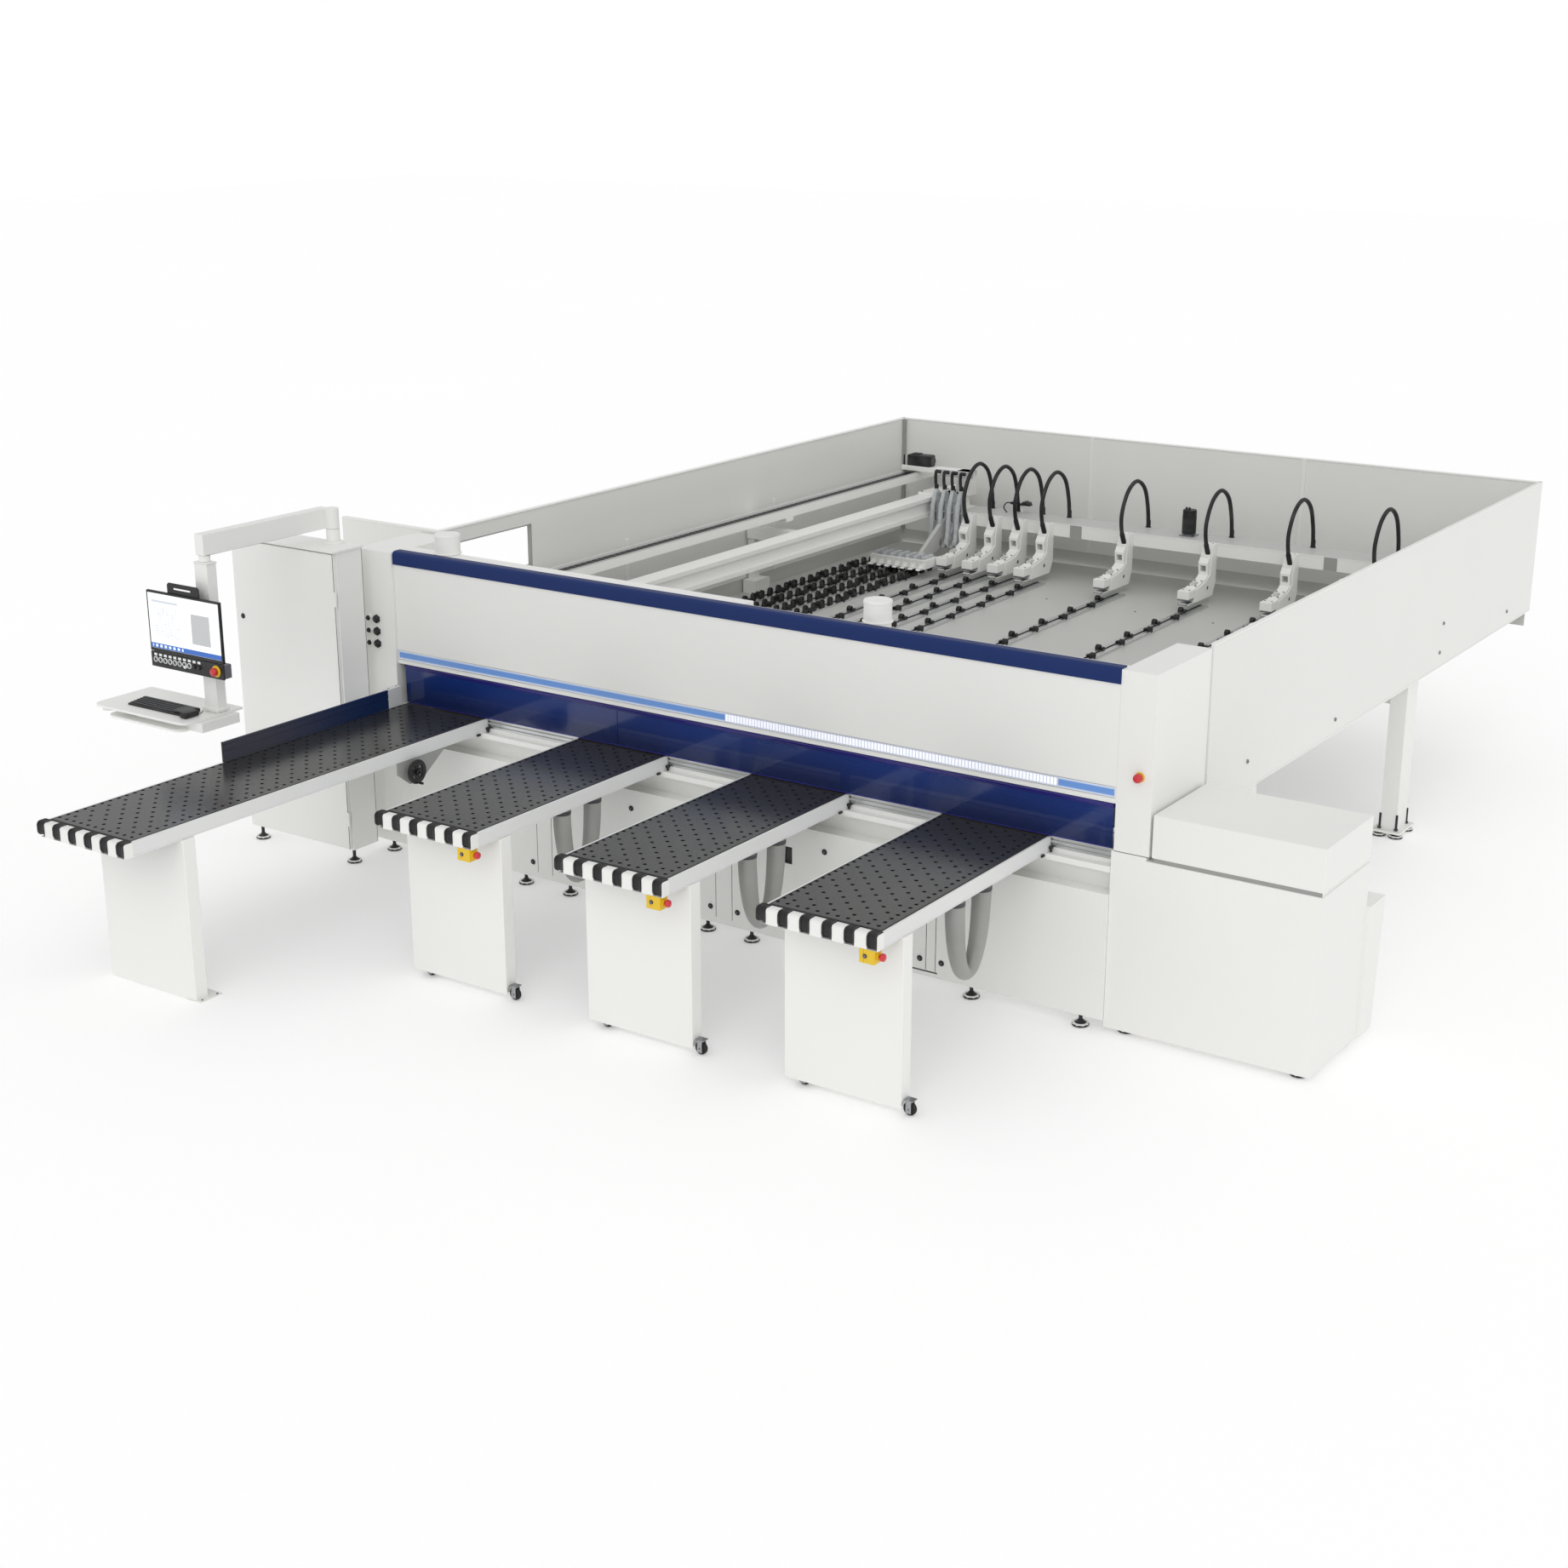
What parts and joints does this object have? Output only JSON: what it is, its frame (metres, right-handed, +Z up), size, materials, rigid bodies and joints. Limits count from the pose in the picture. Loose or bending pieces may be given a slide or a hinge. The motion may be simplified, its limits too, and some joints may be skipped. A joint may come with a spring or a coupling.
{
  "type": "panel-sizing beam saw",
  "caption": "Beam saw for cutting panels, with sliding air tables, a saw beam with curtain, a gripper pusher over a roller bed and a swinging console.",
  "frame": {"origin": "on the floor under the middle of the machine's overall box", "axes": "+Z up, +Y from the operator's tables towards the rear roller bed, +X from the console side towards the blade box"},
  "size_m": [7.167, 8.967, 2.212],
  "materials": {
    "table_1_frame": "smooth off-white paint",
    "handwheel": "black",
    "table_1_top": "dark grey plate with rows of air holes",
    "table_2_frame": "smooth off-white paint",
    "table_2_stop": "red",
    "table_2_castor_1": "black",
    "table_2_castor_2": "black",
    "table_2_hose": "grey flexible hose",
    "table_2_top": "dark grey plate with rows of air holes",
    "table_3_frame": "smooth off-white paint",
    "table_3_stop": "red",
    "table_3_castor_1": "black",
    "table_3_castor_2": "black",
    "table_3_hose": "grey flexible hose",
    "table_3_top": "dark grey plate with rows of air holes",
    "table_4_frame": "smooth off-white paint",
    "table_4_stop": "red",
    "table_4_castor_1": "black",
    "table_4_castor_2": "black",
    "table_4_hose": "grey flexible hose",
    "table_4_top": "dark grey plate with rows of air holes",
    "fence": "dark blue-grey anodised",
    "base_frame": "smooth off-white paint",
    "left_tower": "smooth off-white paint",
    "bed": "clear anodised",
    "beam_cover": "smooth off-white paint",
    "beam_trim": "deep blue paint",
    "light_strip": "light blue diffuser",
    "curtain": "deep blue translucent strip",
    "pressure_beam": "light grey paint",
    "right_tower": "smooth off-white paint",
    "tower_stop": "red",
    "blade_box": "smooth off-white paint",
    "blade_box_lid": "smooth off-white paint",
    "saw_carriage": "light grey paint",
    "saw_lift": "light grey paint",
    "main_blade": "ground steel",
    "scoring_blade": "ground steel",
    "left_guard": "smooth off-white paint",
    "right_guard": "smooth off-white paint",
    "rear_guard": "smooth off-white paint",
    "rear_frame": "smooth off-white paint",
    "roller_bed": "light grey paint",
    "pusher_beam": "smooth off-white paint",
    "gripper_jaw_1": "ground steel",
    "gripper_jaw_2": "ground steel",
    "gripper_jaw_3": "ground steel",
    "gripper_jaw_4": "ground steel",
    "gripper_jaw_5": "ground steel",
    "gripper_jaw_6": "ground steel",
    "gripper_jaw_7": "ground steel",
    "gripper_jaw_8": "ground steel",
    "cabinet_body": "smooth off-white paint",
    "cabinet_door": "smooth off-white paint",
    "swing_arm": "smooth off-white paint",
    "console_column": "light grey paint",
    "keyboard": "black",
    "monitor": "black",
    "button_panel": "black",
    "panel_stop": "red"
  },
  "bodies": {
    "machine": {"table_1_frame": "table_1_frame", "table_1_top": "table_1_top", "fence": "fence", "base_frame": "base_frame", "left_tower": "left_tower", "bed": "bed", "beam_cover": "beam_cover", "beam_trim": "beam_trim", "light_strip": "light_strip", "right_tower": "right_tower", "blade_box": "blade_box", "left_guard": "left_guard", "right_guard": "right_guard", "rear_guard": "rear_guard", "rear_frame": "rear_frame", "roller_bed": "roller_bed", "cabinet_body": "cabinet_body"},
    "table_2": {"table_2_frame": "table_2_frame", "table_2_top": "table_2_top", "table_2_hose": "table_2_hose"},
    "table_2_stop": {"table_2_stop": "table_2_stop"},
    "table_2_castor_1": {"table_2_castor_1": "table_2_castor_1"},
    "table_2_castor_2": {"table_2_castor_2": "table_2_castor_2"},
    "table_3": {"table_3_frame": "table_3_frame", "table_3_top": "table_3_top", "table_3_hose": "table_3_hose"},
    "table_3_stop": {"table_3_stop": "table_3_stop"},
    "table_3_castor_1": {"table_3_castor_1": "table_3_castor_1"},
    "table_3_castor_2": {"table_3_castor_2": "table_3_castor_2"},
    "table_4": {"table_4_frame": "table_4_frame", "table_4_top": "table_4_top", "table_4_hose": "table_4_hose"},
    "table_4_stop": {"table_4_stop": "table_4_stop"},
    "table_4_castor_1": {"table_4_castor_1": "table_4_castor_1"},
    "table_4_castor_2": {"table_4_castor_2": "table_4_castor_2"},
    "handwheel": {"handwheel": "handwheel"},
    "curtain": {"curtain": "curtain"},
    "pressure_beam": {"pressure_beam": "pressure_beam"},
    "saw_carriage": {"saw_carriage": "saw_carriage"},
    "saw_lift": {"saw_lift": "saw_lift"},
    "main_blade": {"main_blade": "main_blade"},
    "scoring_blade": {"scoring_blade": "scoring_blade"},
    "blade_box_lid": {"blade_box_lid": "blade_box_lid"},
    "tower_stop": {"tower_stop": "tower_stop"},
    "pusher_beam": {"pusher_beam": "pusher_beam"},
    "cabinet_door": {"cabinet_door": "cabinet_door"},
    "swing_arm": {"swing_arm": "swing_arm"},
    "panel_stop": {"panel_stop": "panel_stop"},
    "gripper_jaw_1": {"gripper_jaw_1": "gripper_jaw_1"},
    "gripper_jaw_2": {"gripper_jaw_2": "gripper_jaw_2"},
    "gripper_jaw_3": {"gripper_jaw_3": "gripper_jaw_3"},
    "gripper_jaw_4": {"gripper_jaw_4": "gripper_jaw_4"},
    "gripper_jaw_5": {"gripper_jaw_5": "gripper_jaw_5"},
    "gripper_jaw_6": {"gripper_jaw_6": "gripper_jaw_6"},
    "gripper_jaw_7": {"gripper_jaw_7": "gripper_jaw_7"},
    "gripper_jaw_8": {"gripper_jaw_8": "gripper_jaw_8"},
    "console": {"console_column": "console_column", "keyboard": "keyboard", "monitor": "monitor", "button_panel": "button_panel"}
  },
  "joints": [
    {"name": "table_2_shift", "type": "slide", "parent": "machine", "child": "table_2", "axis": [1, 0, 0], "range_m": [-0.2, 0.2]},
    {"name": "table_2_castor_1_roll", "type": "hinge", "parent": "table_2", "child": "table_2_castor_1", "pos_m": [-0.9705, -3.113, 0.035], "axis": [0, 1, 0], "continuous": true},
    {"name": "table_2_castor_2_roll", "type": "hinge", "parent": "table_2", "child": "table_2_castor_2", "pos_m": [-0.3645, -3.113, 0.035], "axis": [0, 1, 0], "continuous": true},
    {"name": "table_2_stop_press", "type": "slide", "parent": "table_2", "child": "table_2_stop", "axis": [-1, 0, 0], "range_m": [0, 0.004], "stiffness_N_per_m": 1500, "springref_m": -0.002},
    {"name": "table_3_shift", "type": "slide", "parent": "machine", "child": "table_3", "axis": [1, 0, 0], "range_m": [-0.2, 0.2]},
    {"name": "table_3_castor_1_roll", "type": "hinge", "parent": "table_3", "child": "table_3_castor_1", "pos_m": [0.2665, -3.113, 0.035], "axis": [0, 1, 0], "continuous": true},
    {"name": "table_3_castor_2_roll", "type": "hinge", "parent": "table_3", "child": "table_3_castor_2", "pos_m": [0.8725, -3.113, 0.035], "axis": [0, 1, 0], "continuous": true},
    {"name": "table_3_stop_press", "type": "slide", "parent": "table_3", "child": "table_3_stop", "axis": [-1, 0, 0], "range_m": [0, 0.004], "stiffness_N_per_m": 1500, "springref_m": -0.002},
    {"name": "table_4_shift", "type": "slide", "parent": "machine", "child": "table_4", "axis": [1, 0, 0], "range_m": [-0.2, 0.2]},
    {"name": "table_4_castor_1_roll", "type": "hinge", "parent": "table_4", "child": "table_4_castor_1", "pos_m": [1.5035, -3.113, 0.035], "axis": [0, 1, 0], "continuous": true},
    {"name": "table_4_castor_2_roll", "type": "hinge", "parent": "table_4", "child": "table_4_castor_2", "pos_m": [2.1095, -3.113, 0.035], "axis": [0, 1, 0], "continuous": true},
    {"name": "table_4_stop_press", "type": "slide", "parent": "table_4", "child": "table_4_stop", "axis": [-1, 0, 0], "range_m": [0, 0.004], "stiffness_N_per_m": 1500, "springref_m": -0.002},
    {"name": "handwheel_turn", "type": "hinge", "parent": "machine", "child": "handwheel", "pos_m": [-1.7065, -2.3655, 0.846], "axis": [1, 0, 0], "continuous": true},
    {"name": "curtain_lift", "type": "hinge", "parent": "machine", "child": "curtain", "pos_m": [-0.0065, -1.7095, 1.24], "axis": [-1, 0, 0], "range_deg": [0, 60]},
    {"name": "pressure_beam_lift", "type": "slide", "parent": "machine", "child": "pressure_beam", "axis": [0, 0, 1], "range_m": [0, 0.09]},
    {"name": "saw_carriage_travel", "type": "slide", "parent": "machine", "child": "saw_carriage", "axis": [1, 0, 0], "range_m": [0, 4.05]},
    {"name": "saw_lift_raise", "type": "slide", "parent": "saw_carriage", "child": "saw_lift", "axis": [0, 0, 1], "range_m": [0, 0.14]},
    {"name": "main_blade_spin", "type": "hinge", "parent": "saw_lift", "child": "main_blade", "pos_m": [-1.9065, -1.4655, 0.728], "axis": [0, 1, 0], "continuous": true},
    {"name": "scoring_blade_spin", "type": "hinge", "parent": "saw_lift", "child": "scoring_blade", "pos_m": [-2.2365, -1.4655, 0.762], "axis": [0, 1, 0], "continuous": true},
    {"name": "blade_box_lid_open", "type": "hinge", "parent": "machine", "child": "blade_box_lid", "pos_m": [3.1095, -1.1005, 1.0043], "axis": [-1, 0, 0], "range_deg": [0, 70]},
    {"name": "tower_stop_press", "type": "slide", "parent": "machine", "child": "tower_stop", "axis": [0, 1, 0], "range_m": [0, 0.004], "stiffness_N_per_m": 1500, "springref_m": -0.002},
    {"name": "pusher_travel", "type": "slide", "parent": "machine", "child": "pusher_beam", "axis": [0, -1, 0], "range_m": [0, 4.3]},
    {"name": "gripper_jaw_1_close", "type": "slide", "parent": "pusher_beam", "child": "gripper_jaw_1", "axis": [0, 0, -1], "range_m": [0, 0.02]},
    {"name": "gripper_jaw_2_close", "type": "slide", "parent": "pusher_beam", "child": "gripper_jaw_2", "axis": [0, 0, -1], "range_m": [0, 0.02]},
    {"name": "gripper_jaw_3_close", "type": "slide", "parent": "pusher_beam", "child": "gripper_jaw_3", "axis": [0, 0, -1], "range_m": [0, 0.02]},
    {"name": "gripper_jaw_4_close", "type": "slide", "parent": "pusher_beam", "child": "gripper_jaw_4", "axis": [0, 0, -1], "range_m": [0, 0.02]},
    {"name": "gripper_jaw_5_close", "type": "slide", "parent": "pusher_beam", "child": "gripper_jaw_5", "axis": [0, 0, -1], "range_m": [0, 0.02]},
    {"name": "gripper_jaw_6_close", "type": "slide", "parent": "pusher_beam", "child": "gripper_jaw_6", "axis": [0, 0, -1], "range_m": [0, 0.02]},
    {"name": "gripper_jaw_7_close", "type": "slide", "parent": "pusher_beam", "child": "gripper_jaw_7", "axis": [0, 0, -1], "range_m": [0, 0.02]},
    {"name": "gripper_jaw_8_close", "type": "slide", "parent": "pusher_beam", "child": "gripper_jaw_8", "axis": [0, 0, -1], "range_m": [0, 0.02]},
    {"name": "cabinet_door_open", "type": "hinge", "parent": "machine", "child": "cabinet_door", "pos_m": [-2.6085, -2.0535, 1], "axis": [0, 0, 1], "range_deg": [0, 43]},
    {"name": "swing_arm_turn", "type": "hinge", "parent": "machine", "child": "swing_arm", "pos_m": [-2.7815, -1.8855, 2.087], "axis": [0, 0, 1], "range_deg": [-60, 14]},
    {"name": "console_turn", "type": "hinge", "parent": "swing_arm", "child": "console", "pos_m": [-2.8415, -2.8555, 2.06], "axis": [0, 0, 1], "range_deg": [-28, 28]},
    {"name": "panel_stop_press", "type": "slide", "parent": "console", "child": "panel_stop", "axis": [0, 1, 0], "range_m": [0, 0.004], "stiffness_N_per_m": 1500, "springref_m": -0.002}
  ],
  "couplings": [
    {"joint": "table_2_castor_1_roll", "follows": "table_2_shift", "rad_per_m": 28.571},
    {"joint": "table_2_castor_2_roll", "follows": "table_2_shift", "rad_per_m": 28.571},
    {"joint": "table_3_castor_1_roll", "follows": "table_3_shift", "rad_per_m": 28.571},
    {"joint": "table_3_castor_2_roll", "follows": "table_3_shift", "rad_per_m": 28.571},
    {"joint": "table_4_castor_1_roll", "follows": "table_4_shift", "rad_per_m": 28.571},
    {"joint": "table_4_castor_2_roll", "follows": "table_4_shift", "rad_per_m": 28.571}
  ]
}
